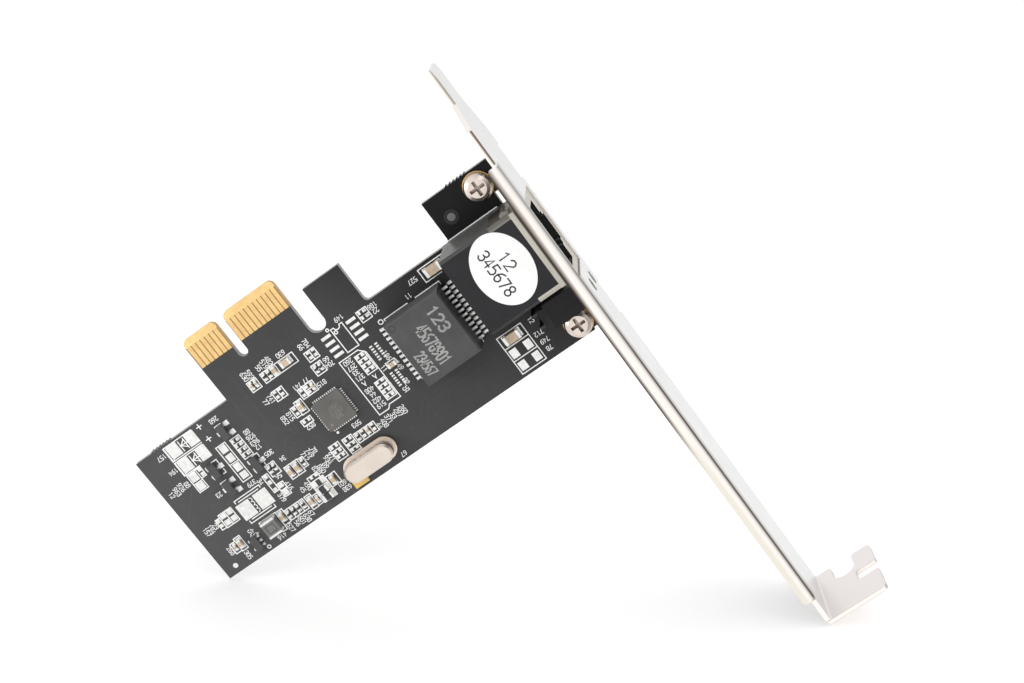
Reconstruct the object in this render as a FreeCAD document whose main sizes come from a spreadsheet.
"""Network interface card: a short PCI Express x1 board with one RJ45 jack and a
full-height bracket.

Frame, in millimetres: +X points out through the bracket's outer face, +Z towards the
gold edge fingers, +Y from the component side to the solder side of the board. The
origin lies on the seat of the bracket's foot, in the middle of the case-screw slot's
width, where the card rests on the case rail.

Every sub-part is drawn in the card's own drawing frame: X = 0 at the plate's outer
face, Y = 0 at the board's component face and Z = 0 at the foot's underside. One
placement, taken from the sheet, carries all of them to the rail seat.
"""

import FreeCAD
import Part
import Sketcher
import math
import os
import re

V = FreeCAD.Vector
doc = FreeCAD.newDocument("NetworkCard")

# ----------------------------------------------------------------------- sizes
SIZES = [
    # bracket
    ("seat_x", 5.0, "plate's outer face to the rail-seat point"),
    ("seat_y", 9.0, "board's component face to the rail-seat point"),
    ("sheet", 0.86, "bracket sheet thickness"),
    ("plate_near", -15.2, "near long edge of the plate"),
    ("plate_far", 3.2, "far long edge of the plate"),
    ("plate_top", 120.02, "tip of the tongue above the foot's underside"),
    ("tongue_near", -11.06, "near edge of the tongue"),
    ("tongue_wide", 10.19, "width of the tongue"),
    ("taper_near_low", 108.4, "near taper, lower end"),
    ("taper_near_high", 113.0, "near taper, upper end"),
    ("taper_far_low", 104.5, "far taper, lower end"),
    ("taper_far_mid", 108.5, "far taper, break"),
    ("taper_far_step", 1.75, "far taper, width of its steep stretch"),
    ("taper_far_high", 112.8, "far taper, upper end"),
    ("curl_long", 2.1, "length of the curled tongue tip"),
    ("curl_deep", 0.2, "offset of the curled tip"),
    ("curl_round", 3.0, "radius of the curl"),
    ("bend_inner", 0.35, "inside radius of every bend"),
    ("bend_flat", 0.3, "flat stretch beside each cut-out bend"),
    ("flange_deep", 2.3, "stiffening flange, depth from the outer face"),
    ("flange_low", 5.7, "stiffening flange, lower end"),
    ("flange_high", 101.2, "stiffening flange, upper end"),
    ("flange_round", 0.9, "radius of the flange's free corners"),
    ("foot_long", 11.65, "foot, reach from the outer face"),
    ("foot_round", 1.1, "radius of the foot's outer corners"),
    ("notch_wide", 4.42, "case-screw notch, width"),
    ("notch_deep", 6.0, "case-screw notch, depth from the far edge"),
    ("notch_mid", 5.45, "case-screw notch, middle from the outer face"),
    ("notch_round", 0.8, "radius at the notch's mouth"),
    ("slit_wide", 3.5, "foot's end slot, width"),
    ("slit_deep", 4.25, "foot's end slot, depth"),
    ("slit_mid", -5.65, "foot's end slot, middle"),
    ("slit_round", 0.5, "radius at the end slot's mouth"),
    ("lug_long", 9.7, "fixing lug, reach behind the plate's inner face"),
    ("lug_half", 2.8, "fixing lug, half width"),
    ("lug_relief", 0.8, "relief cut beside each lug"),
    ("lug_round", 1.4, "radius of a lug's free corners"),
    ("lamp_hole", 1.3, "radius of the two lamp holes"),
    ("port_gap", 0.28, "gap round the jack in the plate"),
    # screws
    ("screw_x", -7.0, "fixing screws from the outer face"),
    ("screw_low", 68.0, "lower fixing screw"),
    ("screw_high", 98.2, "upper fixing screw"),
    ("screw_core", 1.22, "radius of the screw shank"),
    ("screw_fit", 0.04, "play between shank and lug hole"),
    ("screw_hole", 1.6, "radius of the board's screw holes"),
    ("screw_past", 1.5, "shank beyond the lug"),
    ("head_radius", 2.6, "radius of the screw head"),
    ("head_high", 2.1, "height of the screw head"),
    ("head_crown", 1.7, "radius of the flat on the screw head"),
    ("head_mid", 2.3, "radius of the head at the break of its dome"),
    ("head_fall", 0.35, "fall of the head from the flat to the break"),
    ("head_edge", 1.0, "fall of the head from the flat to its rim"),
    ("cross_wide", 0.62, "width of the cross recess"),
    ("cross_long", 2.9, "length of the cross recess"),
    ("cross_deep", 1.2, "depth of the cross recess"),
    ("ring_radius", 2.75, "radius of the bare ring under a screw head"),
    # board
    ("board", 1.57, "board thickness"),
    ("board_end", -88.8, "far end of the board"),
    ("board_low", 65.1, "lower edge of the board"),
    ("board_high", 92.95, "slot-side edge of the board"),
    ("board_side", -5.3, "bracket-side edge of the board"),
    ("tab_side", -2.84, "bracket side of the upper tab"),
    ("tab_low", 99.2, "underside of the upper tab's nose"),
    ("tab_high", 101.35, "top of the upper tab and of the hook"),
    ("tab_left", -16.95, "bay side of the upper tab"),
    ("tab_fillet", 2.0, "radius under the upper tab's nose"),
    ("hook_right", -35.55, "bay side of the retaining hook"),
    ("hook_left", -43.45, "connector side of the retaining hook"),
    ("bay_fillet", 0.9, "radius in the bay's corners"),
    ("slot_low", 93.25, "bottom of the slot beside the connector"),
    ("key_x", -59.2, "middle of the key notch"),
    ("key_wide", 1.95, "width of the key notch"),
    ("key_low", 97.6, "bottom of the key notch"),
    ("edge_right", 12.15, "key middle to the connector's bracket-side end"),
    ("edge_left", 8.15, "key middle to the connector's far end"),
    ("edge_high", 106.2, "tip of the edge connector"),
    ("edge_round", 1.1, "radius of the connector's tip corners"),
    ("bevel_long", 1.4, "bevel along the tips"),
    ("bevel_deep", 0.42, "bevel depth"),
    ("finger_pitch", 1.0, "pitch of the fingers"),
    ("finger_wide", 0.8, "width of a finger"),
    ("finger_low", 100.25, "lower end of the fingers"),
    ("finger_first", 1.5, "key middle to the nearest finger"),
    ("nib_wide", 0.42, "width of a broken-off tab's nib"),
    ("nib_high", 0.3, "height of a nib"),
    ("nib_step", 0.78, "distance between nibs"),
    ("nib_far_x", -84.9, "first nib on the slot-side edge"),
    ("nib_tab_x", -11.6, "first nib on the upper tab"),
    ("mark_high_x", -14.0, "upper alignment mark from the outer face"),
    ("mark_high_z", 96.5, "upper alignment mark along Z"),
    ("mark_high_radius", 0.75, "radius of the upper alignment mark"),
    ("mark_low_x", -86.3, "lower alignment mark from the outer face"),
    ("mark_low_z", 66.6, "lower alignment mark along Z"),
    ("mark_low_radius", 0.5, "radius of the lower alignment mark"),
    ("copper", 0.05, "thickness of bare copper and solder"),
    # jack
    ("jack_mid", 85.42, "middle of the jack along Z"),
    ("jack_wide", 15.6, "width of the jack"),
    ("jack_high", 13.4, "height of the jack above the board"),
    ("jack_back", -18.2, "rear of the jack"),
    ("jack_front", -0.3, "front of the jack's shield"),
    ("jack_soft", 0.55, "bevel along the jack's top edges"),
    ("shield", 0.28, "shield sheet thickness"),
    ("shield_long", 3.4, "length of the shield's front collar"),
    ("wing_long", 7.8, "length of the shield's side wings"),
    ("wing_low", -3.0, "lower edge of the side wings"),
    ("wing_lip", 0.1, "flat lip of the wings on the jack's top, past their corner"),
    ("spring_x", -4.5, "middle of the side spring"),
    ("spring_radius", 0.8, "radius of the side spring"),
    ("spring_high", 5.0, "length of the side spring"),
    ("mouth_top", -11.0, "plug mouth, contact side"),
    ("mouth_low", -4.6, "plug mouth, latch side of the wide part"),
    ("mouth_wide", 12.0, "plug mouth, width"),
    ("step_low", -3.2, "latch step, outer end"),
    ("step_wide", 6.6, "latch step, width"),
    ("latch_low", -1.5, "latch groove, bottom"),
    ("latch_wide", 5.0, "latch groove, width"),
    ("mouth_deep", 12.6, "depth of the plug mouth"),
    ("wire_pitch", 1.02, "pitch of the jack's contact wires"),
    ("wire", 0.35, "thickness of a contact wire"),
    ("wire_front", -3.6, "front end of a contact wire"),
    ("wire_drop", 3.6, "drop of a contact wire into the mouth"),
    ("pin_side", 0.45, "side of a soldered pin"),
    ("pin_hole", 0.4, "half width of a soldered pin's hole"),
    ("pin_past", 1.1, "pin beyond the solder face"),
    ("pin_row_x", -11.2, "front row of the jack's pins"),
    ("pin_row_step", 2.54, "distance between the pin rows"),
    ("pin_step", 1.27, "pitch of the pins in a row pair"),
    ("peg_radius", 1.6, "radius of the jack's locating pegs"),
    ("peg_gap", 0.06, "play of a peg in its hole"),
    ("peg_x", -8.2, "pegs from the outer face"),
    ("peg_half", 5.9, "pegs from the jack's middle"),
    ("peg_past", 1.4, "peg beyond the solder face"),
    ("lift", 0.12, "gap between moulded housings and the board"),
    # lamp holder
    ("lamp_z", 73.6, "middle of the lamp holder along Z"),
    ("lamp_wide", 4.8, "width of the lamp holder"),
    ("lamp_high", 8.5, "height of the lamp holder"),
    ("lamp_back", -10.95, "rear of the lamp holder"),
    ("lamp_front", -1.05, "front of the lamp holder"),
    ("lamp_step", 3.4, "height of the holder's lower level"),
    ("lamp_set", 1.6, "setback of the holder's upper rear edge"),
    ("lens_low", -1.5, "lower lamp above the board"),
    ("lens_high", -6.5, "upper lamp above the board"),
    ("lens_radius", 1.15, "radius of a lamp lens"),
    ("lens_long", 1.5, "length of a lamp lens"),
    ("lens_flat", 0.6, "radius of the flat on a lens"),
    ("lens_fall", 0.4, "fall of a lens from its flat to its rim"),
    ("lamp_lead", 0.5, "width of a lamp lead"),
    ("lamp_lead_z", 2.54, "pitch of the lamp leads"),
    ("lamp_lead_out", 1.15, "lamp lead behind the holder"),
    # sticker
    ("label_x", -9.8, "middle of the round label"),
    ("label_z", 86.1, "middle of the round label along Z"),
    ("label_long", 6.8, "half length of the label"),
    ("label_short", 5.2, "half width of the label"),
    ("label_thick", 0.1, "thickness of the label"),
    # magnetics
    ("coil_x", -28.6, "middle of the magnetics body"),
    ("coil_z", 81.7, "middle of the magnetics body along Z"),
    ("coil_wide", 11.7, "width of the magnetics body"),
    ("coil_long", 13.4, "length of the magnetics body"),
    ("coil_high", 6.1, "height of the magnetics body"),
    ("coil_lift", 0.3, "standoff of the magnetics body"),
    ("coil_soft", 0.35, "bevel round the magnetics body's top"),
    ("coil_span", 16.0, "width across the gull-wing feet"),
    ("lead_pitch", 1.0, "pitch of the gull-wing leads"),
    ("lead_wide", 0.45, "width of a gull-wing lead"),
    ("lead_thick", 0.25, "thickness of a gull-wing lead"),
    ("lead_high", 1.9, "height at which a gull-wing lead leaves the body"),
    ("lead_foot", 1.1, "length of a gull-wing foot"),
    # controller
    ("chip_x", -52.4, "middle of the controller"),
    ("chip_z", 80.25, "middle of the controller along Z"),
    ("chip_side", 6.0, "side of the controller"),
    ("chip_high", 0.85, "height of the controller"),
    ("chip_pitch", 0.45, "pitch of the controller's pads"),
    ("chip_pad", 0.24, "width of a controller pad"),
    ("chip_pad_out", 0.42, "controller pad beyond the body"),
    ("chip_pad_in", 0.4, "controller pad under the body"),
    # crystal
    ("crystal_x", -52.6, "middle of the crystal"),
    ("crystal_z", 69.15, "middle of the crystal along Z"),
    ("crystal_long", 10.3, "length of the crystal's can"),
    ("crystal_wide", 3.8, "width of the crystal's can"),
    ("crystal_high", 3.2, "height of the crystal's can"),
    ("crystal_soft", 0.45, "height of the can's crown"),
    ("crown_in", 0.35, "setback of the crown"),
    ("rim_out", 0.45, "rim of the can beyond its wall"),
    ("rim_high", 0.45, "height of the rim"),
    ("base_left", -58.35, "far end of the base's corner tab"),
    ("base_tab", 3.0, "length of the corner tab"),
    ("base_low", 65.7, "lower edge of the corner tab"),
    ("base_high", 0.55, "height of the crystal's base"),
    # power inductor
    ("choke_x", -75.5, "middle of the power inductor"),
    ("choke_z", 69.05, "middle of the power inductor along Z"),
    ("choke_wide", 2.9, "width of the power inductor"),
    ("choke_long", 2.5, "length of its body between the terminals"),
    ("choke_high", 2.0, "height of the power inductor"),
    ("choke_end", 0.45, "length of a terminal"),
    # small outline packages
    ("sot_wide", 1.4, "width of a transistor body"),
    ("sot_long", 2.9, "length of a transistor body"),
    ("sot_high", 1.0, "height of a transistor body"),
    ("sot_lift", 0.15, "standoff of a transistor body"),
    ("sot_out", 0.55, "transistor lead beyond the body"),
    ("sot_lead", 0.42, "width of a transistor lead"),
    ("sot_pitch", 0.95, "pitch of the transistor leads"),
    ("sot_thick", 0.18, "thickness of a transistor lead"),
    # chips: length, width, height, end cap
    ("tiny_long", 1.0, "length of the smallest chips"),
    ("tiny_wide", 0.52, "width of the smallest chips"),
    ("tiny_high", 0.45, "height of the smallest chips"),
    ("tiny_end", 0.25, "end cap of the smallest chips"),
    ("small_long", 1.6, "length of the small chips"),
    ("small_wide", 0.82, "width of the small chips"),
    ("small_high", 0.8, "height of the small chips"),
    ("small_end", 0.35, "end cap of the small chips"),
    ("medium_long", 2.0, "length of the medium chips"),
    ("medium_wide", 1.25, "width of the medium chips"),
    ("medium_high", 0.9, "height of the medium chips"),
    ("medium_end", 0.42, "end cap of the medium chips"),
    ("large_long", 3.2, "length of the large chips"),
    ("large_wide", 1.65, "width of the large chips"),
    ("large_high", 1.3, "height of the large chips"),
    ("large_end", 0.5, "end cap of the large chips"),
    ("array_long", 3.1, "length of a line filter array"),
    ("array_wide", 0.95, "width of a line filter array"),
    ("array_high", 0.45, "height of a line filter array"),
    ("pad_out", 0.32, "solder pad beyond a chip's end"),
    ("pad_side", 0.06, "solder pad beyond a chip's side"),
]

# Placement of the chips: kind (a gap has its pads alone), package, X, Z and the axis
# they lie along.
CHIPS = [
    ("ca", "cap", "tiny", -61.98, 92.45, "Z"),
    ("cb", "cap", "tiny", -60.98, 92.45, "Z"),
    ("cc", "res", "tiny", -58.95, 92.5, "Z"),
    ("cd", "res", "tiny", -57.9, 92.5, "Z"),
    ("ce", "cap", "small", -56.72, 92.5, "Z"),
    ("cf", "cap", "medium", -54.1, 92.5, "X"),
    ("cg", "gap", "tiny", -49.9, 91.0, "Z"),
    ("ch", "gap", "tiny", -48.8, 91.0, "Z"),
    ("ci", "res", "tiny", -50.45, 88.2, "Z"),
    ("cj", "res", "tiny", -49.45, 88.2, "Z"),
    ("ck", "gap", "tiny", -59.35, 88.6, "Z"),
    ("cl", "gap", "tiny", -58.25, 88.6, "Z"),
    ("cm", "gap", "tiny", -55.25, 86.05, "Z"),
    ("cn", "gap", "tiny", -54.05, 86.05, "Z"),
    ("co", "cap", "tiny", -52.95, 86.05, "Z"),
    ("cp", "gap", "tiny", -58.4, 84.0, "Z"),
    ("cq", "cap", "small", -57.0, 84.3, "Z"),
    ("cr", "gap", "tiny", -57.9, 81.5, "X"),
    ("cs", "res", "tiny", -37.25, 92.0, "X"),
    ("ct", "res", "tiny", -37.25, 90.95, "X"),
    ("cu", "cap", "small", -38.65, 81.05, "X"),
    ("cv", "gap", "tiny", -56.9, 74.6, "X"),
    ("cw", "gap", "tiny", -56.9, 73.55, "X"),
    ("cx", "gap", "tiny", -56.9, 72.5, "X"),
    ("cy", "gap", "tiny", -54.0, 74.3, "X"),
    ("cz", "gap", "tiny", -54.0, 73.25, "X"),
    ("da", "gap", "tiny", -54.0, 72.2, "X"),
    ("db", "res", "tiny", -52.1, 73.6, "Z"),
    ("dc", "gap", "tiny", -51.0, 73.6, "Z"),
    ("dd", "cap", "tiny", -49.9, 73.6, "Z"),
    ("de", "gap", "tiny", -48.75, 73.6, "Z"),
    ("df", "cap", "small", -66.35, 75.4, "Z"),
    ("dg", "cap", "small", -64.8, 75.4, "Z"),
    ("dh", "res", "tiny", -63.35, 75.6, "Z"),
    ("di", "gap", "tiny", -63.5, 72.2, "X"),
    ("dj", "cap", "small", -60.85, 69.75, "Z"),
    ("dk", "cap", "tiny", -84.0, 69.55, "Z"),
    ("dl", "cap", "small", -82.7, 69.65, "Z"),
    ("dm", "cap", "small", -73.1, 69.3, "Z"),
    ("dn", "cap", "small", -66.85, 68.6, "Z"),
    ("dp", "cap", "tiny", -65.55, 68.25, "Z"),
    ("dq", "cap", "large", -18.1, 72.7, "X"),
    ("dr", "cap", "large", -22.1, 91.0, "X"),
    ("ra", "res", "medium", -63.45, 69.25, "X"),
    ("rb", "res", "medium", -63.45, 67.7, "X"),
    ("rc", "res", "tiny", -71.8, 68.95, "Z"),
    ("rd", "res", "tiny", -70.7, 68.95, "Z"),
    ("re", "res", "tiny", -69.6, 68.95, "Z"),
    ("rf", "res", "tiny", -68.45, 68.95, "Z"),
    ("rg", "res", "tiny", -70.8, 86.1, "X"),
    ("rh", "res", "tiny", -70.8, 85.0, "X"),
    ("ri", "res", "tiny", -70.8, 83.9, "X"),
    ("rj", "res", "tiny", -70.8, 82.8, "X"),
    ("rk", "res", "tiny", -69.2, 77.9, "Z"),
    ("rl", "res", "tiny", -68.2, 77.9, "Z"),
]

# Small outline packages: X, Z, then the legs on the far side and on the bracket side,
# counted in pitches from the middle.
TRANSISTORS = [
    ("qa", -71.5, 88.7, (0,), (-1, 1)),
    ("qb", -77.55, 83.75, (-1, 1), (0,)),
    ("qc", -77.35, 79.5, (0,), (-1, 1)),
    ("qd", -70.4, 80.3, (-1, 1), (0,)),
    ("va", -80.1, 67.95, (-1, 1), (-1, 0, 1)),
]

# Bare footprints: X and Z of the middle, columns and rows, their steps along X and Z,
# then the length of one pad along X and along Z.
FOOTPRINTS = [
    ("fa", -42.63, 89.93, 2, 4, 5.55, 1.28, 2.0, 0.6),
    ("fb", -42.55, 84.05, 2, 4, 1.15, 1.0, 0.68, 0.56),
    ("fc", -42.55, 78.15, 2, 4, 1.15, 1.05, 0.68, 0.56),
    ("fd", -39.35, 84.4, 2, 6, 1.1, 0.56, 0.6, 0.3),
    ("fe", -39.35, 78.35, 2, 6, 1.1, 0.54, 0.6, 0.3),
]

# Bare solder pads: X and Z of the middle, then the length along X and along Z.
BARE_PADS = [
    ("pa", -81.28, 90.98, 2.25, 2.65),
    ("pb", -77.18, 90.98, 2.15, 2.65),
    ("pc", -81.28, 87.58, 2.25, 2.7),
    ("pd", -77.18, 87.58, 2.15, 2.7),
    ("pe", -77.65, 74.1, 2.9, 3.4),
    ("pf", -73.7, 74.1, 3.0, 3.4),
    ("pg", -73.7, 85.95, 1.4, 1.6),
    ("ph", -73.7, 83.9, 1.4, 1.6),
    ("pi", -73.7, 81.75, 1.4, 1.6),
    ("pj", -73.7, 79.9, 1.4, 1.4),
    ("pk", -81.6, 84.85, 1.6, 1.8),
    ("pl", -81.6, 82.8, 1.6, 1.6),
    ("pm", -79.85, 85.45, 0.7, 0.75),
    ("pn", -79.85, 84.4, 0.7, 0.75),
    ("po", -82.05, 75.75, 1.1, 1.1),
    ("pp", -80.55, 75.75, 1.1, 1.1),
    ("pq", -82.05, 74.25, 1.1, 1.1),
    ("pr", -80.55, 74.25, 1.1, 1.1),
    ("ps", -83.4, 75.35, 0.65, 0.7),
    ("pt", -83.4, 74.35, 0.65, 0.7),
    ("pu", -69.5, 74.4, 1.0, 1.1),
    ("pv", -69.5, 72.75, 1.0, 1.1),
    ("pw", -70.8, 77.2, 0.7, 0.8),
    ("px", -70.8, 75.9, 0.7, 0.8),
    ("py", -70.8, 74.2, 0.7, 0.8),
    ("qe", -64.35, 70.75, 0.9, 1.2),
    ("qf", -62.55, 70.75, 0.9, 1.2),
    ("qg", -19.62, 69.85, 1.5, 1.8),
    ("qh", -16.6, 69.85, 1.4, 1.8),
    ("qi", -19.62, 67.15, 1.5, 1.8),
    ("qj", -16.6, 67.15, 1.4, 1.8),
]

sheet = doc.addObject("Spreadsheet::Sheet", "Sizes")
ALIASES = []


def cell(alias, value, note):
    """Writes one driving dimension to the next row of the sheet."""
    row = str(len(ALIASES) + 1)
    sheet.set("A" + row, note)
    sheet.set("B" + row, repr(value))
    sheet.setAlias("B" + row, alias)
    ALIASES.append(alias)


for alias, value, note in SIZES:
    cell(alias, value, note)
for name, kind, package, x, z, axis in CHIPS:
    cell(name + "_x", x, kind + " " + name + " from the outer face")
    cell(name + "_z", z, kind + " " + name + " above the foot's underside")
for name, x, z, far, near in TRANSISTORS:
    cell(name + "_x", x, "transistor " + name + " from the outer face")
    cell(name + "_z", z, "transistor " + name + " above the foot's underside")
for name, x, z, columns, rows, step_x, step_z, wide, tall in FOOTPRINTS:
    cell(name + "_x", x, "footprint " + name + ", X of its middle")
    cell(name + "_z", z, "footprint " + name + ", Z of its middle")
    cell(name + "_across", step_x, "footprint " + name + ", step along X")
    cell(name + "_up", step_z, "footprint " + name + ", step along Z")
    cell(name + "_wide", wide, "footprint " + name + ", pad length along X")
    cell(name + "_tall", tall, "footprint " + name + ", pad length along Z")
for name, x, z, wide, tall in BARE_PADS:
    cell(name + "_x", x, "bare pad " + name + ", X of its middle")
    cell(name + "_z", z, "bare pad " + name + ", Z of its middle")
    cell(name + "_wide", wide, "bare pad " + name + ", length along X")
    cell(name + "_tall", tall, "bare pad " + name + ", length along Z")
doc.recompute()

WORD = re.compile(r"[a-z][a-z_]*")
PARTS = []


def bound(text):
    """The expression with each named size read from the sheet."""
    return WORD.sub(lambda w: "Sizes." + w.group() if w.group() in ALIASES else w.group(), text)


def value(text):
    return float(sheet.evalExpression(bound(text)))


def seat(obj):
    """Carries an object from the drawing frame to the rail seat, and lists it."""
    obj.setExpression("Placement.Base.x", bound("-seat_x"))
    obj.setExpression("Placement.Base.y", bound("seat_y"))
    obj.setExpression("Placement.Base.z", bound("-sheet"))
    PARTS.append(obj)
    return obj


# ------------------------------------------------------- sketches and features
def new_body(label):
    body = doc.addObject("PartDesign::Body", label)
    body.Label = label
    return seat(body)


def new_sketch(body, plane, at="0"):
    """A sketch on the body's own XY, XZ or YZ plane, moved along its axis to `at`."""
    sketch = body.newObject("Sketcher::SketchObject", body.Label + "_sketch")
    role = plane + "_Plane"
    support = [f for f in body.Origin.OriginFeatures if f.Role == role][0]
    sketch.AttachmentSupport = [(support, "")]
    sketch.MapMode = "FlatFace"
    sign = "-" if plane == "XZ" else ""
    sketch.setExpression("AttachmentOffset.Base.z", bound(sign + "(" + at + ")"))
    return sketch


def fix(sketch, geometry, end, x, y):
    """Ties a point of the sketch to two expressions."""
    for kind, text in (("DistanceX", x), ("DistanceY", y)):
        rule = Sketcher.Constraint(kind, -1, 1, geometry, end, value(text))
        index = sketch.addConstraint(rule)
        sketch.setExpression("Constraints[%d]" % index, bound(text))


def outline(sketch, corners):
    """A closed outline through (x, y) or (x, y, radius) corners, all expressions."""
    count = len(corners)
    points = [V(value(c[0]), value(c[1]), 0) for c in corners]
    radii = [value(c[2]) if len(c) > 2 else 0.0 for c in corners]
    starts, ends, middles = [], [], []
    for i in range(count):
        back = (points[i - 1] - points[i]).normalize()
        ahead = (points[(i + 1) % count] - points[i]).normalize()
        half = back.getAngle(ahead) / 2
        run = radii[i] / math.tan(half)
        starts.append(points[i] + back * run)
        ends.append(points[i] + ahead * run)
        middles.append(points[i] + (back + ahead).normalize() * (radii[i] / math.sin(half)))
    lines = []
    for i in range(count):
        line = Part.LineSegment(ends[i], starts[(i + 1) % count])
        lines.append(sketch.addGeometry(line, False))
    for i in range(count):
        before, after = lines[i - 1], lines[i]
        if len(corners[i]) < 3:
            sketch.addConstraint(Sketcher.Constraint("Coincident", before, 2, after, 1))
            fix(sketch, after, 1, corners[i][0], corners[i][1])
            continue
        spokes = [starts[i] - middles[i], ends[i] - middles[i]]
        left = spokes[0].cross(spokes[1]).z > 0
        first, last = spokes if left else spokes[::-1]
        circle = Part.Circle(middles[i], V(0, 0, 1), radii[i])
        turn = [math.atan2(first.y, first.x), math.atan2(last.y, last.x)]
        arc = sketch.addGeometry(Part.ArcOfCircle(circle, turn[0], turn[1]), False)
        corner = sketch.addGeometry(Part.Point(points[i]), True)
        fix(sketch, corner, 1, corners[i][0], corners[i][1])
        sketch.addConstraint(Sketcher.Constraint("PointOnObject", corner, 1, before))
        sketch.addConstraint(Sketcher.Constraint("PointOnObject", corner, 1, after))
        sketch.addConstraint(Sketcher.Constraint("Tangent", before, 2, arc, 1 if left else 2))
        sketch.addConstraint(Sketcher.Constraint("Tangent", after, 1, arc, 2 if left else 1))
        index = sketch.addConstraint(Sketcher.Constraint("Radius", arc, radii[i]))
        sketch.setExpression("Constraints[%d]" % index, bound(corners[i][2]))


def rectangle(sketch, x0, y0, x1, y1, radius=None):
    corners = [(x0, y0), (x1, y0), (x1, y1), (x0, y1)]
    if radius:
        corners = [c + (radius,) for c in corners]
    outline(sketch, corners)


def octagon(sketch, x, y, half):
    """A small eight-sided hole: half is the distance from its middle to a side."""
    bite = "*(2-sqrt(2))"
    low_x, high_x = x + "-" + half, x + "+" + half
    low_y, high_y = y + "-" + half, y + "+" + half
    outline(sketch, [
        (low_x + "+" + half + bite, low_y), (high_x + "-" + half + bite, low_y),
        (high_x, low_y + "+" + half + bite), (high_x, high_y + "-" + half + bite),
        (high_x + "-" + half + bite, high_y), (low_x + "+" + half + bite, high_y),
        (low_x, high_y + "-" + half + bite), (low_x, low_y + "+" + half + bite),
    ])


def disc(sketch, x, y, radius):
    circle = Part.Circle(V(value(x), value(y), 0), V(0, 0, 1), value(radius))
    index = sketch.addGeometry(circle, False)
    fix(sketch, index, 3, x, y)
    rule = sketch.addConstraint(Sketcher.Constraint("Radius", index, value(radius)))
    sketch.setExpression("Constraints[%d]" % rule, bound(radius))


def extrude(kind, body, sketch, length, way):
    """A Pad or Pocket that runs towards plus (way = 1) or minus (way = -1)."""
    feature = body.newObject("PartDesign::" + kind, body.Label + "_" + kind.lower())
    feature.Profile = sketch
    flipped = sketch.AttachmentSupport[0][0].Role == "XZ_Plane"
    feature.setExpression("Length", bound(length))
    towards = way < 0 if kind == "Pad" else way > 0
    feature.Reversed = towards != flipped
    body.Tip = feature
    return feature


def pad(body, sketch, length, way):
    return extrude("Pad", body, sketch, length, way)


def cut(body, sketch, length, way, both=False):
    """A pocket that must take material away, one way or both ways from its sketch."""
    doc.recompute()
    before = body.Shape.Volume
    feature = extrude("Pocket", body, sketch, length, way)
    feature.Midplane = both
    doc.recompute()
    if body.Shape.Volume > before - 1e-4:
        raise RuntimeError(body.Label + ": a pocket takes nothing away")
    return feature


def cut_through(body, sketch):
    """A pocket right through the body, both ways from its sketch."""
    return cut(body, sketch, "2*plate_top", 1, True)


def row(body, feature, role, length, copies):
    """Repeats a feature, or a list of them, along the body's X, Y or Z axis."""
    pattern = body.newObject("PartDesign::LinearPattern", body.Label + "_row")
    pattern.Originals = feature if isinstance(feature, list) else [feature]
    axis = [f for f in body.Origin.OriginFeatures if f.Role == role + "_Axis"][0]
    pattern.Direction = (axis, [""])
    pattern.setExpression("Length", bound(length))
    pattern.Occurrences = copies
    body.Tip = pattern
    return pattern


def spin(body, sketch, start, end):
    """A full turn of the sketch about the line from start to end in its plane."""
    line = Part.LineSegment(V(value(start[0]), value(start[1]), 0),
                            V(value(end[0]), value(end[1]), 0))
    index = sketch.addGeometry(line, True)
    fix(sketch, index, 1, start[0], start[1])
    fix(sketch, index, 2, end[0], end[1])
    feature = body.newObject("PartDesign::Revolution", body.Label + "_turned")
    feature.Profile = sketch
    feature.ReferenceAxis = (sketch, ["Axis0"])
    feature.Angle = 360
    body.Tip = feature
    return feature


def soften(kind, body, size, direction, middles):
    """Fillets or chamfers the straight edges that pass through the given points."""
    doc.recompute()
    base = body.Tip
    names = []
    points = [V(*[value(c) for c in m]) for m in middles]
    for number, edge in enumerate(base.Shape.Edges, 1):
        if edge.Curve.TypeId != "Part::GeomLine":
            continue
        along = edge.tangentAt(edge.FirstParameter)
        if abs(along.dot(direction)) < 0.999:
            continue
        for point in points:
            away = edge.CenterOfMass - point
            if (away - direction * away.dot(direction)).Length < 0.01:
                names.append("Edge%d" % number)
    if not names:
        raise RuntimeError(body.Label + ": no edge to soften")
    feature = body.newObject("PartDesign::" + kind, body.Label + "_" + kind.lower())
    feature.Base = (base, names)
    feature.setExpression("Radius" if kind == "Fillet" else "Size", bound(size))
    body.Tip = feature
    return feature


def box(name, x0, y0, z0, long_x, long_y, long_z):
    """A Part::Box from its low corner and its three lengths."""
    solid = doc.addObject("Part::Box", name)
    for prop, text in (("Length", long_x), ("Width", long_y), ("Height", long_z)):
        solid.setExpression(prop, bound(text))
    for prop, text in (("x", x0), ("y", y0), ("z", z0)):
        solid.setExpression("Placement.Base." + prop, bound(text))
    return solid


def rod(name, x, y, z, radius, length, way):
    """A Part::Cylinder whose axis runs along Y (way "Y") or X (way "X")."""
    solid = doc.addObject("Part::Cylinder", name)
    solid.setExpression("Radius", bound(radius))
    solid.setExpression("Height", bound(length))
    turn = FreeCAD.Rotation(V(0, 0, 1), V(1, 0, 0) if way == "X" else V(0, 1, 0))
    solid.Placement = FreeCAD.Placement(V(0, 0, 0), turn)
    for prop, text in (("x", x), ("y", y), ("z", z)):
        solid.setExpression("Placement.Base." + prop, bound(text))
    return solid


def group(label, solids):
    """Like pieces kept in one sub-part as separate solids."""
    compound = doc.addObject("Part::Compound", label)
    compound.Label = label
    compound.Links = solids
    return seat(compound)


X, Y, Z = V(1, 0, 0), V(0, 1, 0), V(0, 0, 1)

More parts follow.
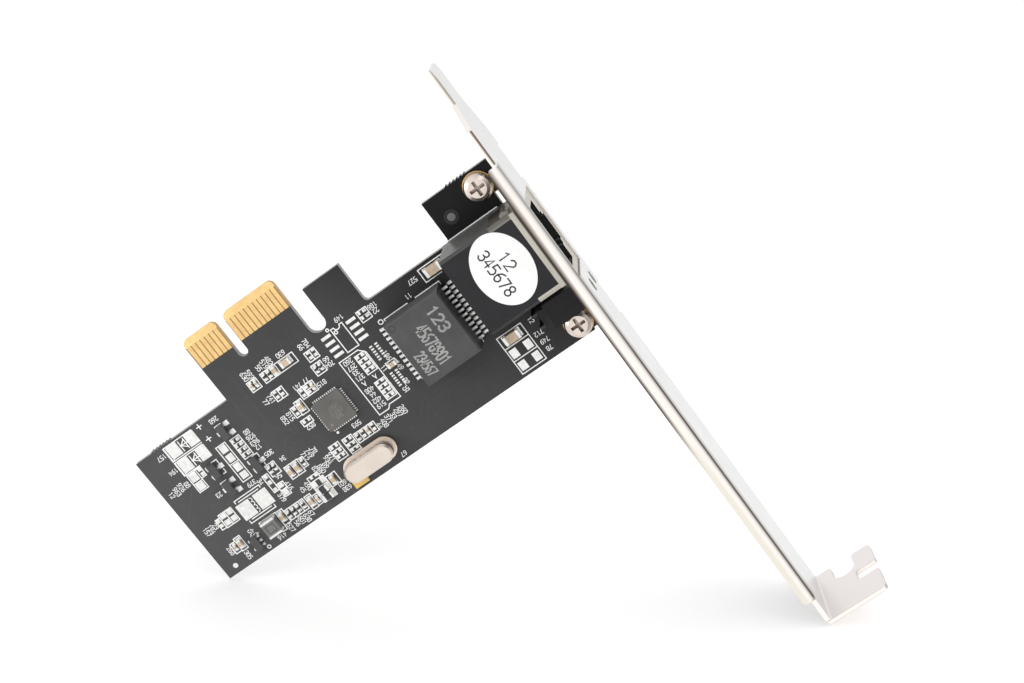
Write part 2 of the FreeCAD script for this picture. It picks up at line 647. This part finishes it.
# ------------------------------------------------------------------- bracket
# One folded sheet: foot, plate and curled tongue are one bent profile.
bracket = new_body("bracket")
profile = new_sketch(bracket, "XZ", "plate_far")
bend_outer = "bend_inner+sheet"
outline(profile, [
    ("foot_long", "0"),
    ("foot_long", "sheet"),
    ("0", "sheet", "bend_inner"),
    ("0", "plate_top-curl_long", "curl_round+sheet"),
    ("-curl_deep", "plate_top", "0.4*sheet"),
    ("-curl_deep-sheet", "plate_top", "0.4*sheet"),
    ("-sheet", "plate_top-curl_long", "curl_round"),
    ("-sheet", "0", bend_outer),
])
pad(bracket, profile, "plate_far-plate_near", -1)

# Tapered shoulders on both sides of the tongue.
shoulders = new_sketch(bracket, "YZ")
tongue_far = "tongue_near+tongue_wide"
outline(shoulders, [
    ("plate_near-1", "taper_near_low"),
    ("plate_near", "taper_near_low"),
    ("tongue_near", "taper_near_high"),
    ("tongue_near", "plate_top+1"),
    ("plate_near-1", "plate_top+1"),
])
outline(shoulders, [
    ("plate_far+1", "taper_far_low"),
    ("plate_far+1", "plate_top+1"),
    (tongue_far, "plate_top+1"),
    (tongue_far, "taper_far_high"),
    ("plate_far-taper_far_step", "taper_far_mid"),
    ("plate_far", "taper_far_low"),
])
cut_through(bracket, shoulders)

# Near edge cleared for the flange, far edge cleared for the two lugs.
reach = bend_outer + "+bend_flat"
clearing = new_sketch(bracket, "YZ")
rectangle(clearing, "plate_near-1", "flange_low", "plate_near+" + reach, "flange_high")
lug_face = "board+sheet"
for screw in ("screw_low", "screw_high"):
    rectangle(clearing, lug_face + "-(" + reach + ")", screw + "-lug_half-lug_relief",
              "plate_far+1", screw + "+lug_half+lug_relief")
cut_through(bracket, clearing)

flange = new_sketch(bracket, "XY", "flange_low")
outline(flange, [
    ("0", "plate_near+" + reach),
    ("-sheet", "plate_near+" + reach),
    ("-sheet", "plate_near+sheet", "bend_inner"),
    ("-flange_deep", "plate_near+sheet"),
    ("-flange_deep", "plate_near"),
    ("0", "plate_near", bend_outer),
])
pad(bracket, flange, "flange_high-flange_low", 1)
soften("Fillet", bracket, "flange_round", Y, [
    ("-flange_deep", "plate_near", "flange_low"),
    ("-flange_deep", "plate_near", "flange_high"),
])

for screw in ("screw_low", "screw_high"):
    lug = new_sketch(bracket, "XY", screw + "-lug_half")
    outline(lug, [
        ("0", lug_face + "-(" + reach + ")"),
        ("0", lug_face, bend_outer),
        ("-sheet-lug_long", lug_face),
        ("-sheet-lug_long", "board"),
        ("-sheet", "board", "bend_inner"),
        ("-sheet", lug_face + "-(" + reach + ")"),
    ])
    pad(bracket, lug, "2*lug_half", 1)
soften("Fillet", bracket, "lug_round", Y, [
    ("-sheet-lug_long", "board", "screw_low-lug_half"),
    ("-sheet-lug_long", "board", "screw_low+lug_half"),
    ("-sheet-lug_long", "board", "screw_high-lug_half"),
    ("-sheet-lug_long", "board", "screw_high+lug_half"),
])
threads = new_sketch(bracket, "XZ", "board")
for screw in ("screw_low", "screw_high"):
    disc(threads, "screw_x", screw, "screw_core+screw_fit")
cut(bracket, threads, "sheet", 1)

# Foot: case-screw notch, end slot and rounded corners.
foot_cuts = new_sketch(bracket, "XY")
notch_low, notch_high = "notch_mid-notch_wide/2", "notch_mid+notch_wide/2"
outline(foot_cuts, [
    (notch_low, "plate_far+1"),
    (notch_low, "plate_far-notch_deep", "0.98*notch_wide/2"),
    (notch_high, "plate_far-notch_deep", "0.98*notch_wide/2"),
    (notch_high, "plate_far+1"),
])
rectangle(foot_cuts, "foot_long-slit_deep", "slit_mid-slit_wide/2",
          "foot_long+1", "slit_mid+slit_wide/2")
cut(bracket, foot_cuts, "sheet", 1)
soften("Fillet", bracket, "foot_round", Z, [
    ("foot_long", "plate_near", "0"),
    ("foot_long", "plate_far", "0"),
])
soften("Fillet", bracket, "notch_round", Z, [
    (notch_low, "plate_far", "0"),
    (notch_high, "plate_far", "0"),
])
soften("Fillet", bracket, "slit_round", Z, [
    ("foot_long", "slit_mid-slit_wide/2", "0"),
    ("foot_long", "slit_mid+slit_wide/2", "0"),
])

# Jack port and lamp holes.
port = new_sketch(bracket, "YZ")
rectangle(port, "-jack_high-port_gap", "jack_mid-jack_wide/2-port_gap",
          "port_gap", "jack_mid+jack_wide/2+port_gap", "port_gap")
disc(port, "lens_low", "lamp_z", "lamp_hole")
disc(port, "lens_high", "lamp_z", "lamp_hole")
cut(bracket, port, "sheet", -1)

# --------------------------------------------------------------------- board
board = new_body("circuit_board")
shape = new_sketch(board, "XZ")
edge_right = "key_x+edge_right"
edge_left = "key_x-edge_left"
key_round = "0.98*key_wide/2"
slot_round = "0.98*(hook_left-(" + edge_right + "))/2"
outline(shape, [
    ("board_end", "board_low"),
    ("board_side", "board_low"),
    ("board_side", "tab_low", "tab_fillet"),
    ("tab_side", "tab_low"),
    ("tab_side", "tab_high"),
    ("tab_left", "tab_high"),
    ("tab_left", "board_high", "bay_fillet"),
    ("hook_right", "board_high", "bay_fillet"),
    ("hook_right", "tab_high"),
    ("hook_left", "tab_high"),
    ("hook_left", "slot_low", slot_round),
    (edge_right, "slot_low", slot_round),
    (edge_right, "edge_high", "edge_round"),
    ("key_x+key_wide/2", "edge_high", "edge_round"),
    ("key_x+key_wide/2", "key_low", key_round),
    ("key_x-key_wide/2", "key_low", key_round),
    ("key_x-key_wide/2", "edge_high", "edge_round"),
    (edge_left, "edge_high", "edge_round"),
    (edge_left, "board_high"),
    ("board_end", "board_high"),
])
pad(board, shape, "board", 1)

# Nibs left where the card was broken out of its panel.
for first, edge, copies in (("nib_far_x", "board_high", 6), ("nib_tab_x", "tab_high", 6)):
    nib = new_sketch(board, "XZ")
    outline(nib, [
        (first + "-nib_wide/2", edge + "-nib_high"),
        (first + "+nib_wide/2", edge + "-nib_high"),
        (first + "+nib_wide/4", edge + "+nib_high"),
        (first + "-nib_wide/3", edge + "+nib_high/2"),
    ])
    tooth = pad(board, nib, "board", 1)
    row(board, tooth, "X", "%d*nib_step" % (copies - 1), copies)

bevel = new_sketch(board, "YZ")
outline(bevel, [
    ("-1", "edge_high-bevel_long"),
    ("0", "edge_high-bevel_long"),
    ("bevel_deep", "edge_high"),
    ("bevel_deep", "edge_high+1"),
    ("-1", "edge_high+1"),
])
outline(bevel, [
    ("board+1", "edge_high-bevel_long"),
    ("board+1", "edge_high+1"),
    ("board-bevel_deep", "edge_high+1"),
    ("board-bevel_deep", "edge_high"),
    ("board", "edge_high-bevel_long"),
])
cut_through(board, bevel)

PIN_SLOTS = range(8)


def pin_place(number):
    """X and Z of one of the jack's eight staggered pins."""
    x = "pin_row_x-%d*pin_row_step" % (number % 2)
    z = "jack_mid+(%d-3.5)*pin_step" % number
    return x, z


holes = new_sketch(board, "XZ")
for screw in ("screw_low", "screw_high"):
    disc(holes, "screw_x", screw, "screw_hole")
for side in ("-", "+"):
    disc(holes, "peg_x", "jack_mid" + side + "peg_half", "peg_radius+peg_gap")
for number in PIN_SLOTS:
    place = pin_place(number)
    octagon(holes, place[0], place[1], "pin_hole")
lead_x = "lamp_back-lamp_lead_out+lamp_lead/2"
for side in ("-", "+"):
    octagon(holes, lead_x, "lamp_z" + side + "lamp_lead_z/2", "pin_hole")
cut(board, holes, "board", 1)

# Gold fingers on both faces: seven beyond the key, eleven on the bracket side.
TONGUES = {1: ("key_x+key_wide/2", edge_right), -1: (edge_left, "key_x-key_wide/2")}
for label, face, way in (("gold_fingers_front", "0", -1), ("gold_fingers_back", "board", 1)):
    fingers = new_body(label)
    for first, step, copies in (("key_x+finger_first", 1, 11), ("key_x-finger_first", -1, 7)):
        finger = new_sketch(fingers, "XZ", face)
        low = first if step > 0 else first + "-(%d)*finger_pitch" % (copies - 1)
        rectangle(finger, low + "-finger_wide/2", "finger_low",
                  low + "+finger_wide/2", "edge_high-bevel_long")
        strip = pad(fingers, finger, "copper", way)
        row(fingers, strip, "X", "%d*finger_pitch" % (copies - 1), copies)
        tip_low, tip_high = TONGUES[step]
        tip = new_sketch(fingers, "YZ", tip_low)
        out = "-" if way < 0 else "+"
        back = "+" if way < 0 else "-"
        outline(tip, [
            (face, "edge_high-bevel_long"),
            (face + out + "copper", "edge_high-bevel_long"),
            (face + back + "bevel_deep" + out + "copper", "edge_high"),
            (face + back + "bevel_deep", "edge_high"),
        ])
        pad(fingers, tip, tip_high + "-(" + tip_low + ")", 1)
    trim = new_sketch(fingers, "XZ")
    rectangle(trim, edge_left + "-1", "finger_low-1", edge_right + "+1", "edge_high+1")
    for tip_low, tip_high in TONGUES.values():
        outline(trim, [
            (tip_low, "finger_low-0.5"),
            (tip_high, "finger_low-0.5"),
            (tip_high, "edge_high", "edge_round"),
            (tip_low, "edge_high", "edge_round"),
        ])
    cut_through(fingers, trim)

# -------------------------------------------------------------------- screws
screws = new_body("bracket_screws")
turned = new_sketch(screws, "XY", "screw_low")
outline(turned, [
    ("screw_x", "-copper-head_high"),
    ("screw_x+head_crown", "-copper-head_high"),
    ("screw_x+head_mid", "-copper-head_high+head_fall"),
    ("screw_x+head_radius", "-copper-head_high+head_edge"),
    ("screw_x+head_radius", "-copper"),
    ("screw_x+screw_core", "-copper"),
    ("screw_x+screw_core", "board+sheet+screw_past"),
    ("screw_x", "board+sheet+screw_past"),
])
screw = spin(screws, turned, ("screw_x", "-1"), ("screw_x", "1"))
recess = new_sketch(screws, "XZ", "-copper-head_high")
arm, half = "cross_long/2", "cross_wide/2"
outline(recess, [
    ("screw_x-" + arm, "screw_low-" + half),
    ("screw_x-" + half, "screw_low-" + half),
    ("screw_x-" + half, "screw_low-" + arm),
    ("screw_x+" + half, "screw_low-" + arm),
    ("screw_x+" + half, "screw_low-" + half),
    ("screw_x+" + arm, "screw_low-" + half),
    ("screw_x+" + arm, "screw_low+" + half),
    ("screw_x+" + half, "screw_low+" + half),
    ("screw_x+" + half, "screw_low+" + arm),
    ("screw_x-" + half, "screw_low+" + arm),
    ("screw_x-" + half, "screw_low+" + half),
    ("screw_x-" + arm, "screw_low+" + half),
])
cross = cut(screws, recess, "cross_deep", 1)
row(screws, [screw, cross], "Z", "screw_high-screw_low", 2)

rings = new_body("screw_pad_rings")
ring = new_sketch(rings, "XZ")
for screw in ("screw_low", "screw_high"):
    disc(ring, "screw_x", screw, "ring_radius")
    disc(ring, "screw_x", screw, "screw_hole")
pad(rings, ring, "copper", -1)

# ---------------------------------------------------------------------- jack
housing = new_body("jack_housing")
z_low, z_high = "jack_mid-jack_wide/2", "jack_mid+jack_wide/2"
rear = new_sketch(housing, "YZ", "jack_back")
outline(rear, [
    ("-lift", z_low),
    ("-lift", z_high),
    ("-jack_high+jack_soft", z_high),
    ("-jack_high", z_high + "-jack_soft"),
    ("-jack_high", z_low + "+jack_soft"),
    ("-jack_high+jack_soft", z_low),
])
pad(housing, rear, "jack_front-shield_long-jack_back", 1)
nose = new_sketch(housing, "YZ", "jack_front-shield_long")
rectangle(nose, "-jack_high+shield", z_low + "+shield", "-lift-shield", z_high + "-shield")
pad(housing, nose, "shield_long-shield", 1)


def mouth(sketch, play):
    """The plug's opening: wide mouth, latch step and latch groove."""
    outline(sketch, [
        ("mouth_top-" + play, "jack_mid-mouth_wide/2-" + play),
        ("mouth_low+" + play, "jack_mid-mouth_wide/2-" + play),
        ("mouth_low+" + play, "jack_mid-step_wide/2-" + play),
        ("step_low+" + play, "jack_mid-step_wide/2-" + play),
        ("step_low+" + play, "jack_mid-latch_wide/2-" + play),
        ("latch_low+" + play, "jack_mid-latch_wide/2-" + play),
        ("latch_low+" + play, "jack_mid+latch_wide/2+" + play),
        ("step_low+" + play, "jack_mid+latch_wide/2+" + play),
        ("step_low+" + play, "jack_mid+step_wide/2+" + play),
        ("mouth_low+" + play, "jack_mid+step_wide/2+" + play),
        ("mouth_low+" + play, "jack_mid+mouth_wide/2+" + play),
        ("mouth_top-" + play, "jack_mid+mouth_wide/2+" + play),
    ])


cavity = new_sketch(housing, "YZ", "jack_front-shield")
mouth(cavity, "0")
cut(housing, cavity, "mouth_deep", -1)
wing_back = "jack_front-wing_long"
wing_run = "wing_long-shield_long"
wing_corner = "(jack_soft+shield)"


def wing_section(sketch, side, inward):
    """A wing with its lip: down the jack's side and over the bevel onto its top."""
    outline(sketch, [
        ("wing_low", side),
        ("wing_low", side + inward + "shield"),
        ("-jack_high+" + wing_corner, side + inward + "shield"),
        ("-jack_high+shield", side + inward + wing_corner),
        ("-jack_high+shield", side + inward + "(" + wing_corner + "+wing_lip)"),
        ("-jack_high", side + inward + "(" + wing_corner + "+wing_lip)"),
        ("-jack_high", side + inward + "jack_soft"),
        ("-jack_high+jack_soft", side),
    ])


for side, inward in ((z_low, "+"), (z_high, "-")):
    seat_cut = new_sketch(housing, "YZ", wing_back)
    wing_section(seat_cut, side, inward)
    cut(housing, seat_cut, wing_run, 1)

# Shield: a collar round the nose with the plug's opening, two side wings, one spring.
shield = new_body("jack_shield")
collar = new_sketch(shield, "YZ", "jack_front-shield_long")
rectangle(collar, "-jack_high", z_low, "-lift", z_high, "shield")
pad(shield, collar, "shield_long", 1)
inside = new_sketch(shield, "YZ", "jack_front-shield_long")
rectangle(inside, "-jack_high+shield", z_low + "+shield", "-lift-shield", z_high + "-shield")
cut(shield, inside, "shield_long-shield", 1)
front = new_sketch(shield, "YZ", "jack_front")
mouth(front, "0.15")
cut(shield, front, "shield", -1)
for side, inward in ((z_low, "+"), (z_high, "-")):
    wing = new_sketch(shield, "YZ", wing_back)
    wing_section(wing, side, inward)
    pad(shield, wing, wing_run, 1)
spring = new_sketch(shield, "XY", z_high)
rectangle(spring, "spring_x-spring_radius", "-jack_high+jack_soft+shield",
          "spring_x+spring_radius", "-jack_high+jack_soft+shield+spring_high")
pad(shield, spring, "spring_radius", 1)
soften("Fillet", shield, "0.94*spring_radius", Y, [
    ("spring_x-spring_radius", "0", z_high + "+spring_radius"),
    ("spring_x+spring_radius", "0", z_high + "+spring_radius"),
])

# Eight sprung contact wires, bent back from the mouth's upper lip.
contacts = new_body("jack_contacts")
first_wire = "jack_mid-3.5*wire_pitch-wire/2"
wire_back = "jack_front-mouth_deep-shield+0.2"
bent = new_sketch(contacts, "XY", first_wire)
outline(bent, [
    ("wire_front", "mouth_top+0.05"),
    ("wire_front", "mouth_top+0.05+wire"),
    (wire_back, "mouth_top+0.05+wire+wire_drop"),
    (wire_back, "mouth_top+0.05+wire_drop"),
    ("wire_front-2*wire", "mouth_top+0.05"),
])
wire = pad(contacts, bent, "wire", 1)
row(contacts, wire, "Z", "7*wire_pitch", 8)

pins = []
for number in PIN_SLOTS:
    place = pin_place(number)
    pins.append(box("jack_pin_%d" % number, place[0] + "-pin_side/2", "-lift",
                    place[1] + "-pin_side/2", "pin_side", "lift+board+pin_past", "pin_side"))
group("jack_pins", pins)
pegs = []
for side, word in (("-", "low"), ("+", "high")):
    pegs.append(rod("jack_peg_" + word, "peg_x", "-lift", "jack_mid" + side + "peg_half",
                    "peg_radius", "lift+board+peg_past", "Y"))
group("jack_pegs", pegs)

# Round inspection label on the jack's top.
label = new_body("round_label")
oval = new_sketch(label, "XZ", "-jack_high")
ellipse = Part.Ellipse(V(value("label_x"), value("label_z"), 0), value("label_long"),
                       value("label_short"))
ellipse.rotate(FreeCAD.Placement(V(0, 0, 0), FreeCAD.Rotation(Z, 90),
                                 V(value("label_x"), value("label_z"), 0)))
oval.addGeometry(ellipse, False)
oval.exposeInternalGeometry(0)
fix(oval, 0, 3, "label_x", "label_z")
for number, text in ((1, "2*label_long"), (2, "2*label_short")):
    rule = Sketcher.Constraint("Distance", number, 1, number, 2, value(text))
    oval.setExpression("Constraints[%d]" % oval.addConstraint(rule), bound(text))
oval.addConstraint(Sketcher.Constraint("Vertical", 1))
pad(label, oval, "label_thick", -1)

# --------------------------------------------------------------- lamp holder
holder = new_body("lamp_holder")
side_view = new_sketch(holder, "XY", "lamp_z-lamp_wide/2")
outline(side_view, [
    ("lamp_front", "-lift"),
    ("lamp_back", "-lift"),
    ("lamp_back", "-lamp_high+lamp_set"),
    ("lamp_back+lamp_set", "-lamp_high"),
    ("lamp_front", "-lamp_high"),
])
pad(holder, side_view, "lamp_wide", 1)
step = new_sketch(holder, "XZ", "-lamp_high")
lamp_low, lamp_top = "lamp_z-lamp_wide/2", "lamp_z+lamp_wide/2"
rectangle(step, "lamp_back", lamp_low, "lamp_back+lamp_set", lamp_low + "+lens_radius/2")
rectangle(step, "lamp_back", lamp_top + "-lens_radius/2", "lamp_back+lamp_set", lamp_top)
cut(holder, step, "lamp_high-lamp_step", 1)
sockets = new_sketch(holder, "YZ", "lamp_front")
for lens in ("lens_low", "lens_high"):
    disc(sockets, lens, "lamp_z", "lens_radius+screw_fit")
cut(holder, sockets, "lens_long/2", -1)

lenses = new_body("lamp_lenses")
half_lens = new_sketch(lenses, "XY", "lamp_z")
outline(half_lens, [
    ("lamp_front-lens_long/2", "lens_high"),
    ("lamp_front+lens_long/2", "lens_high"),
    ("lamp_front+lens_long/2", "lens_high+lens_flat"),
    ("lamp_front+lens_long/2-lens_fall", "lens_high+lens_radius"),
    ("lamp_front-lens_long/2", "lens_high+lens_radius"),
])
lens = spin(lenses, half_lens, ("0", "lens_high"), ("1", "lens_high"))
row(lenses, lens, "Y", "lens_low-lens_high", 2)

leads = new_body("lamp_leads")
for side in ("-", "+"):
    lead = new_sketch(leads, "XY", "lamp_z" + side + "lamp_lead_z/2-lamp_lead/2")
    outline(lead, [
        ("lamp_back", "lens_high-lamp_lead/2"),
        ("lamp_back", "lens_high+lamp_lead/2"),
        ("lamp_back-lamp_lead_out+lamp_lead", "lens_high+lamp_lead/2"),
        ("lamp_back-lamp_lead_out+lamp_lead", "board+pin_past"),
        ("lamp_back-lamp_lead_out", "board+pin_past"),
        ("lamp_back-lamp_lead_out", "lens_high-lamp_lead/2", "lamp_lead"),
    ])
    pad(leads, lead, "lamp_lead", 1)

# ----------------------------------------------------------------- magnetics
coil = new_body("magnetics_body")
plan = new_sketch(coil, "XZ", "-coil_lift")
rectangle(plan, "coil_x-coil_wide/2", "coil_z-coil_long/2",
          "coil_x+coil_wide/2", "coil_z+coil_long/2")
pad(coil, plan, "coil_high-coil_lift", -1)
for axis, middles in (
    (Z, [("coil_x-coil_wide/2", "-coil_high", "0"), ("coil_x+coil_wide/2", "-coil_high", "0")]),
    (X, [("0", "-coil_high", "coil_z-coil_long/2"), ("0", "-coil_high", "coil_z+coil_long/2")]),
):
    soften("Chamfer", coil, "coil_soft", axis, middles)

gulls = new_body("magnetics_leads")
for sign in ("-", "+"):
    gull = new_sketch(gulls, "XY", "coil_z-5.5*lead_pitch-lead_wide/2")
    wall = "coil_x" + sign + "coil_wide/2"
    knee = "coil_x" + sign + "(coil_span/2-lead_foot)"
    tip = "coil_x" + sign + "coil_span/2"
    back = "+" if sign == "-" else "-"
    corners = [
        (wall, "-lead_high"),
        (knee, "-lead_high"),
        (knee, "-copper-lead_thick"),
        (tip, "-copper-lead_thick"),
        (tip, "-copper"),
        (knee + back + "lead_thick", "-copper"),
        (knee + back + "lead_thick", "-lead_high+lead_thick"),
        (wall, "-lead_high+lead_thick"),
    ]
    outline(gull, corners)
    one = pad(gulls, gull, "lead_wide", 1)
    row(gulls, one, "Z", "11*lead_pitch", 12)

coil_pads = new_body("magnetics_pads")
for sign in ("-", "+"):
    inner = "coil_x" + sign + "(coil_span/2-lead_foot-lead_thick)"
    outer = "coil_x" + sign + "(coil_span/2+pad_out/2)"
    low, high = (outer, inner) if sign == "-" else (inner, outer)
    land = new_sketch(coil_pads, "XZ")
    rectangle(land, low, "coil_z-5.5*lead_pitch-lead_wide/2-pad_side",
              high, "coil_z-5.5*lead_pitch+lead_wide/2+pad_side")
    one = pad(coil_pads, land, "copper", -1)
    row(coil_pads, one, "Z", "11*lead_pitch", 12)

# ---------------------------------------------------------------- controller
chip = new_body("controller_chip")
square = new_sketch(chip, "XZ", "-copper")
rectangle(square, "chip_x-chip_side/2", "chip_z-chip_side/2",
          "chip_x+chip_side/2", "chip_z+chip_side/2")
pad(chip, square, "chip_high", -1)
terminals = new_body("controller_pads")
near, out = "(chip_side/2-chip_pad_in)", "(chip_side/2+chip_pad_out)"
for sign in ("-", "+"):
    ends = sorted([near, out], reverse=sign == "-")
    start = "chip_z-5.5*chip_pitch-chip_pad/2"
    land = new_sketch(terminals, "XZ")
    low, high = (out, near) if sign == "-" else (near, out)
    rectangle(land, "chip_x" + sign + low, start, "chip_x" + sign + high, start + "+chip_pad")
    one = pad(terminals, land, "copper", -1)
    row(terminals, one, "Z", "11*chip_pitch", 12)
    start = "chip_x-5.5*chip_pitch-chip_pad/2"
    land = new_sketch(terminals, "XZ")
    rectangle(land, start, "chip_z" + sign + low, start + "+chip_pad", "chip_z" + sign + high)
    one = pad(terminals, land, "copper", -1)
    row(terminals, one, "X", "11*chip_pitch", 12)


# ------------------------------------------------------------------- crystal
def stadium(sketch, long, wide):
    """A slot shape about the crystal's middle: two lines and two half circles."""
    run, reach = "((" + long + ")-(" + wide + "))/2", "(" + wide + ")/2"
    radius = value(reach)
    left = V(value("crystal_x-" + run), value("crystal_z"), 0)
    right = V(value("crystal_x+" + run), value("crystal_z"), 0)
    rise = V(0, radius, 0)
    quarter = math.pi / 2
    low = sketch.addGeometry(Part.LineSegment(left - rise, right - rise), False)
    circle = Part.Circle(right, V(0, 0, 1), radius)
    cap = sketch.addGeometry(Part.ArcOfCircle(circle, -quarter, quarter), False)
    high = sketch.addGeometry(Part.LineSegment(right + rise, left + rise), False)
    circle = Part.Circle(left, V(0, 0, 1), radius)
    end = sketch.addGeometry(Part.ArcOfCircle(circle, quarter, 3 * quarter), False)
    for first, second in ((low, cap), (cap, high), (high, end), (end, low)):
        sketch.addConstraint(Sketcher.Constraint("Tangent", first, 2, second, 1))
    fix(sketch, cap, 3, "crystal_x+" + run, "crystal_z")
    fix(sketch, end, 3, "crystal_x-" + run, "crystal_z")
    for arc in (cap, end):
        index = sketch.addConstraint(Sketcher.Constraint("Radius", arc, radius))
        sketch.setExpression("Constraints[%d]" % index, bound(reach))


base = new_body("crystal_base")
foot_plan = new_sketch(base, "XZ")
stadium(foot_plan, "crystal_long", "crystal_wide")
pad(base, foot_plan, "base_high", -1)
corner_tab = new_sketch(base, "XZ")
rectangle(corner_tab, "base_left", "base_low", "base_left+base_tab", "crystal_z")
pad(base, corner_tab, "base_high", -1)
can = new_body("crystal_can")
rim = new_sketch(can, "XZ", "-base_high")
stadium(rim, "crystal_long+2*rim_out", "crystal_wide+2*rim_out")
pad(can, rim, "rim_high", -1)
wall = new_sketch(can, "XZ", "-base_high")
stadium(wall, "crystal_long", "crystal_wide")
pad(can, wall, "rim_high+crystal_high-crystal_soft", -1)
crown = new_sketch(can, "XZ", "-base_high-rim_high-crystal_high+crystal_soft")
stadium(crown, "crystal_long", "crystal_wide")
crown_pad = pad(can, crown, "crystal_soft", -1)
crown_pad.setExpression("TaperAngle", bound("-atan(crown_in/crystal_soft)"))

# ------------------------------------------------------------ power inductor
choke_low = "choke_z-choke_long/2"
group("power_inductor", [
    box("choke_core", "choke_x-choke_wide/2", "-copper-choke_high", choke_low,
        "choke_wide", "choke_high", "choke_long"),
])
group("inductor_terminals", [
    box("choke_end_low", "choke_x-choke_wide/2", "-copper-choke_high",
        choke_low + "-choke_end", "choke_wide", "choke_high", "choke_end"),
    box("choke_end_high", "choke_x-choke_wide/2", "-copper-choke_high",
        "choke_z+choke_long/2", "choke_wide", "choke_high", "choke_end"),
])

# --------------------------------------------- transistors and small chips
solder = []


def land_pad(name, x0, z0, wide, tall):
    solder.append(box(name, x0, "-copper", z0, wide, "copper", tall))


bodies, legs = [], []
for name, x, z, far, near in TRANSISTORS:
    at_x, at_z = name + "_x", name + "_z"
    bodies.append(box("body_" + name, at_x + "-sot_wide/2", "-copper-sot_lift-sot_high",
                      at_z + "-sot_long/2", "sot_wide", "sot_high", "sot_long"))
    places = [(-1, step) for step in far] + [(1, step) for step in near]
    for number, (way, step) in enumerate(places):
        start = at_x + ("+sot_wide/2" if way > 0 else "-sot_wide/2-sot_out")
        low = at_z + "%+d*sot_pitch-sot_lead/2" % step
        leg = "leg_%s_%d" % (name, number)
        legs.append(box(leg, start, "-copper-sot_lift-sot_thick", low,
                        "sot_out", "sot_lift+sot_thick", "sot_lead"))
        land_pad("land_%s_%d" % (name, number), start, low + "-pad_side",
                 "sot_out", "sot_lead+2*pad_side")
group("transistor_bodies", bodies)
group("transistor_leads", legs)

made = {"cap": ([], []), "res": ([], []), "gap": None}
for name, kind, package, x, z, axis in CHIPS:
    size = {key: package + "_" + key for key in ("long", "wide", "high", "end")}
    middle = name + "_x" if axis == "X" else name + "_z"
    across = name + "_z" if axis == "X" else name + "_x"
    side_low = across + "-" + size["wide"] + "/2"
    core = size["long"] + "-2*" + size["end"]
    cores, ends = made[kind] or ([], [])
    spans = [] if kind == "gap" else [
        (cores, "core", middle + "-(" + core + ")/2", core),
        (ends, "end_low", middle + "-" + size["long"] + "/2", size["end"]),
        (ends, "end_high", middle + "+" + size["long"] + "/2-" + size["end"], size["end"]),
    ]
    for pieces, word, start, span in spans:
        low = (start, side_low) if axis == "X" else (side_low, start)
        lengths = (span, size["wide"]) if axis == "X" else (size["wide"], span)
        pieces.append(box(word + "_" + name, low[0], "-copper-" + size["high"], low[1],
                          lengths[0], size["high"], lengths[1]))
    for word, start in (
        ("land_low", middle + "-" + size["long"] + "/2-pad_out"),
        ("land_high", middle + "+" + size["long"] + "/2-" + size["end"]),
    ):
        wide = size["wide"] + "+2*pad_side"
        tall = size["end"] + "+pad_out"
        edge = side_low + "-pad_side"
        if axis == "X":
            land_pad(word + "_" + name, start, edge, tall, wide)
        else:
            land_pad(word + "_" + name, edge, start, wide, tall)
group("capacitor_bodies", made["cap"][0])
group("capacitor_terminals", made["cap"][1])
group("resistor_bodies", made["res"][0])
group("resistor_terminals", made["res"][1])
for name, x, z, columns, rows, step_x, step_z, wide, tall in FOOTPRINTS:
    for place in range(columns * rows):
        column = "%+.1f*%s_across" % (place % columns - (columns - 1) / 2, name)
        line = "%+.1f*%s_up" % (place // columns - (rows - 1) / 2, name)
        land_pad("foot_%s_%d" % (name, place), name + "_x" + column + "-" + name + "_wide/2",
                 name + "_z" + line + "-" + name + "_tall/2", name + "_wide", name + "_tall")
for name, x, z, wide, tall in BARE_PADS:
    land_pad("bare_" + name, name + "_x-" + name + "_wide/2", name + "_z-" + name + "_tall/2",
             name + "_wide", name + "_tall")
for mark in ("mark_high", "mark_low"):
    solder.append(rod(mark, mark + "_x", "-copper", mark + "_z", mark + "_radius",
                      "copper", "Y"))
group("solder_pads", solder)

# -------------------------------------------------------------------- export
doc.recompute()
for obj in doc.Objects:
    if "Invalid" in obj.State or "Error" in obj.State:
        raise RuntimeError(obj.Label + " failed: " + str(obj.State))
os.makedirs("parts", exist_ok=True)
for obj in PARTS:
    if obj.Shape.isNull() or not obj.Shape.isValid():
        raise RuntimeError(obj.Label + " has no valid shape")
for obj in PARTS:
    obj.Shape.exportStep(os.path.join("parts", obj.Label + ".step"))
    limits = obj.Shape.BoundBox
    print(obj.Label, len(obj.Shape.Solids), "solids",
          [round(v, 2) for v in (limits.XMin, limits.XMax, limits.YMin, limits.YMax,
                                 limits.ZMin, limits.ZMax)])
